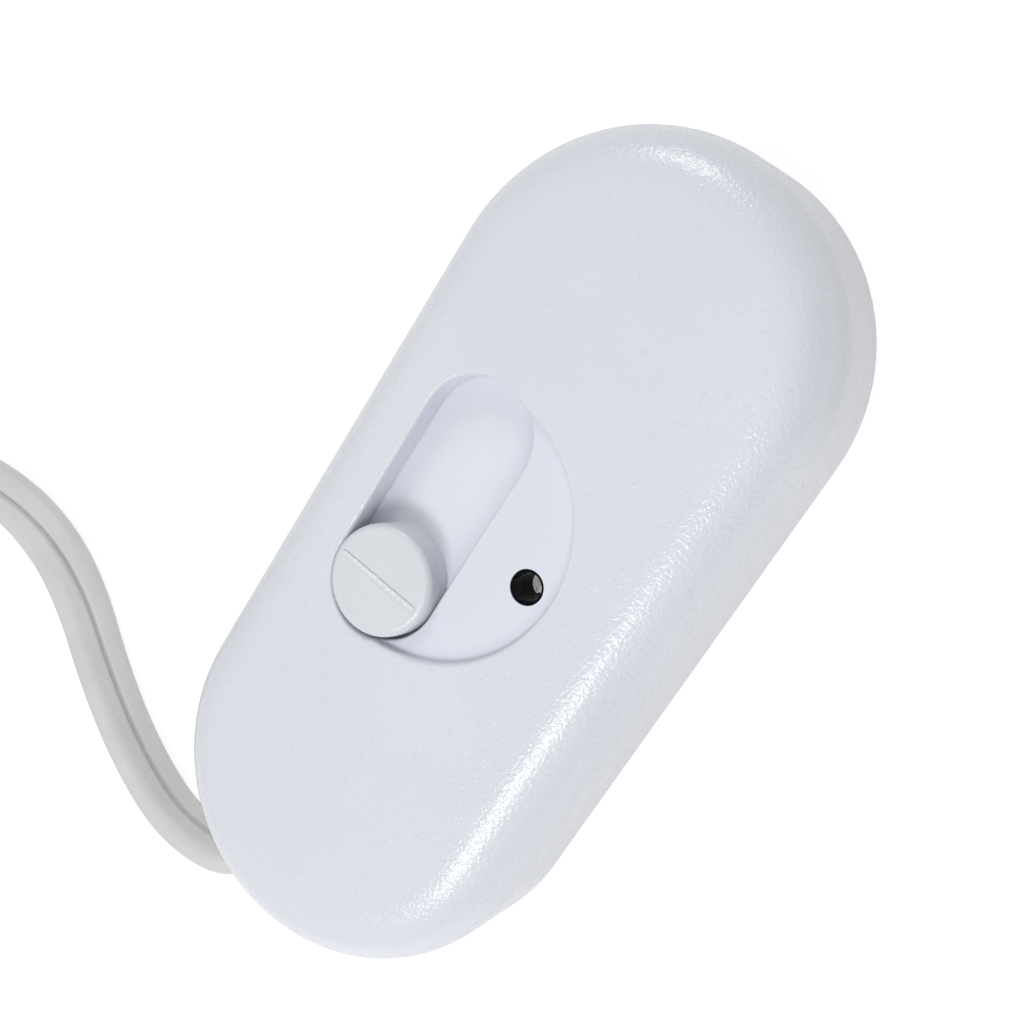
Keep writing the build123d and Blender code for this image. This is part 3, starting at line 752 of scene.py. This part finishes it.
# strap round the coil: a band drawn close to the turns, with its free end lapped on top
strapSettings = {
    "angle": cordSettings["tieAngle"],
    "centre": [value * mm for value in cordSettings["coilCentre"]],
    "inner": 0.0331,
    "outer": 0.0515,
    "bottom": 0.0,
    "top": 0.01855,
    "corner": 0.0030,
    "cornerSegments": 7,
    "width": 0.0110,
    "sheet": 0.0009,
    "rimAngle": 0.7,  # radians; sharper edges are rounded
    "rimRound": 0.00018,
    "rimSegments": 2,
    "lapLength": 0.0150,
    "lapWidth": 0.01056,
    "lapRise": 0.0004,
    "lapLoose": 0.625,  # share of its length that stands off
    "lapSegments": 8,
}


def edgeReach(edge, axis):
    return abs(edge.verts[0].co[axis] - edge.verts[1].co[axis])


def roundEdges(shape, edges, offset, segments):
    bmesh.ops.bevel(
        shape, geom=edges, offset=offset, segments=segments, profile=0.5, affect="EDGES", material=-1
    )


def makeStrap(settings):
    shape = bmesh.new()
    middle = ((settings["inner"] + settings["outer"]) / 2, 0, (settings["bottom"] + settings["top"]) / 2)
    size = (settings["outer"] - settings["inner"], settings["width"], settings["top"] - settings["bottom"])
    block = Matrix.Translation(middle) @ Matrix.Diagonal((*size, 1.0))
    bmesh.ops.create_cube(shape, size=1.0, matrix=block)
    ends = [face for face in shape.faces if abs(face.normal.y) > 0.5]  # the band is open there
    bmesh.ops.delete(shape, geom=ends, context="FACES_ONLY")
    corners = [edge for edge in shape.edges if edgeReach(edge, 1) > settings["width"] / 2]
    roundEdges(shape, corners, settings["corner"], settings["cornerSegments"])
    bmesh.ops.recalc_face_normals(shape, faces=shape.faces[:])
    bmesh.ops.solidify(shape, geom=shape.faces[:], thickness=settings["sheet"])
    # lapped end: a narrower strip on top whose tip stands a little off
    lap = Matrix.Translation((middle[0], 0, settings["top"] + settings["sheet"] / 2))
    lapSize = Matrix.Diagonal((settings["lapLength"], settings["lapWidth"], settings["sheet"], 1.0))
    strip = set(bmesh.ops.create_cube(shape, size=1.0, matrix=lap @ lapSize)["verts"])
    sides = [edge for edge in shape.edges if strip.issuperset(edge.verts)]
    longSides = [edge for edge in sides if edgeReach(edge, 0) > settings["lapLength"] / 2]
    bmesh.ops.subdivide_edges(shape, edges=longSides, cuts=settings["lapSegments"], use_grid_fill=True)
    lapLimit = (settings["lapWidth"] + settings["width"]) / 4  # only the strip lies within it
    for vert in shape.verts:
        if abs(vert.co.y) < lapLimit:
            share = (vert.co.x - middle[0]) / settings["lapLength"] + 0.5
            vert.co.z += settings["lapRise"] * ease(1 - share / settings["lapLoose"])
    turn = Matrix.Rotation(math.radians(settings["angle"]), 4, "Z")
    place = Matrix.Translation((*settings["centre"], 0)) @ turn
    bmesh.ops.transform(shape, matrix=place, verts=shape.verts[:])
    folded = [edge for edge in shape.edges if edge.is_manifold]
    rims = [edge for edge in folded if edge.calc_face_angle() > settings["rimAngle"]]
    roundEdges(shape, rims, settings["rimRound"], settings["rimSegments"])
    mesh = bpy.data.meshes.new("coilStrap")
    shape.to_mesh(mesh)
    shape.free()
    strap = newPiece("coilStrap", mesh, "tie_white", "case")
    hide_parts("cord_tie")
    print("stage: strap made,", len(mesh.polygons), "faces")
    return strap


cord, cordPath = makeCord(cordSettings)
strap = makeStrap(strapSettings)


# camera at the photo's place
cameraSettings = {
    "place": (0.05708, -0.05646, 0.18169),
    "turn": (-2.5216, 24.8940, -54.9566),
    "lens": 52.25,
    "sensor": 36.0,
    "clip": (0.01, 20.0),
}


def makeCamera(settings):
    data = bpy.data.cameras.new("photoCamera")
    data.lens = settings["lens"]
    data.sensor_width = settings["sensor"]
    data.clip_start, data.clip_end = settings["clip"]
    camera = bpy.data.objects.new("photoCamera", data)
    camera.location = settings["place"]
    camera.rotation_euler = [math.radians(angle) for angle in settings["turn"]]
    scene.collection.objects.link(camera)
    scene.camera = camera


makeCamera(cameraSettings)


# pale table, a white sheet on it that only the camera sees, a dark card that it doesn't, and soft light
studioSettings = {
    "floorSize": 4.0,
    "table": {
        "height": -0.0005,
        "colour": (0.80, 0.80, 0.80, 1.0),
        "glow": 0.14,
        "mottleScale": 60.0,
        "roughness": 0.85,
    },
    "sheet": {
        "height": 0.0,
        "colour": (0.30, 0.30, 0.30, 1.0),
        "glow": 0.80,
        "mottleScale": 60.0,
        "roughness": 0.85,
    },
    "card": {
        "place": (0.177, -0.381, 0.27),
        "turn": 25.0,
        "width": 0.59,
        "rise": 0.46,
        "colour": (0.02, 0.02, 0.02, 1.0),
        "glow": 0.0,
        "mottleScale": 900.0,
        "roughness": 0.9,
    },
    "mottleDetail": 3.0,
    "roughnessSpread": 0.1,
    "skyColour": (1.0, 1.0, 1.0, 1.0),
    "skyStrength": 0.59,
    "lights": {
        "keySoftbox": {"place": (-0.345, -0.205, 0.660), "size": 0.22, "power": 1.88, "shines": True},
        "lowSoftbox": {"place": (-0.300, -0.520, 0.480), "size": 0.36, "power": 1.29, "shines": False},
        "farSoftbox": {"place": (0.540, 0.350, 0.380), "size": 0.24, "power": 1.3, "shines": True},
    },
}


def stagePlane(name, size, place, look, settings):
    shape = bmesh.new()
    stretch = Matrix.Diagonal((*size, 1.0, 1.0))
    bmesh.ops.create_grid(shape, x_segments=2, y_segments=2, size=0.5, matrix=place @ stretch)
    data = bpy.data.meshes.new(name)
    shape.to_mesh(data)
    shape.free()
    material, wire = startMaterial(name + "Paper")
    mottle = noise(wire, objectPlace(wire), look["mottleScale"], settings["mottleDetail"])
    values = {
        "Base Color": look["colour"],
        "Roughness": look["roughness"] + mottle * settings["roughnessSpread"],
        "Emission Color": settings["skyColour"],
        "Emission Strength": look["glow"],
    }
    finishMaterial(wire, values)
    data.materials.append(material)
    made = bpy.data.objects.new(name, data)
    scene.collection.objects.link(made)
    return made


def makeFloor(name, look, settings):
    size = (settings["floorSize"], settings["floorSize"])
    return stagePlane(name, size, Matrix.Translation((0, 0, look["height"])), look, settings)


def makeCard(look, settings):
    turn = Matrix.Rotation(math.radians(look["turn"]), 4, "Z")
    upright = Matrix.Rotation(math.radians(90), 4, "X")
    place = Matrix.Translation(look["place"]) @ turn @ upright
    card = stagePlane("darkCard", (look["width"], look["rise"]), place, look, settings)
    card.visible_camera = False


def makeStudio(settings):
    makeFloor("table", settings["table"], settings)
    sheet = makeFloor("sheet", settings["sheet"], settings)
    sheet.visible_diffuse = False
    sheet.visible_glossy = False
    sheet.visible_shadow = False
    makeCard(settings["card"], settings)
    world = bpy.data.worlds.new("studioSky")
    scene.world = world
    world.use_nodes = True
    sky = world.node_tree.nodes["Background"]
    sky.inputs["Color"].default_value = settings["skyColour"]
    sky.inputs["Strength"].default_value = settings["skyStrength"]
    for name, light in settings["lights"].items():
        lamp = bpy.data.lights.new(name, "AREA")
        lamp.shape = "SQUARE"
        lamp.size = light["size"]
        lamp.energy = light["power"]
        made = bpy.data.objects.new(name, lamp)
        made.location = light["place"]
        made.rotation_euler = (-made.location).to_track_quat("-Z", "Y").to_euler()
        made.visible_glossy = light["shines"]
        scene.collection.objects.link(made)
    scene.view_settings.view_transform = "Standard"


makeStudio(studioSettings)
print("stage: studio ready")
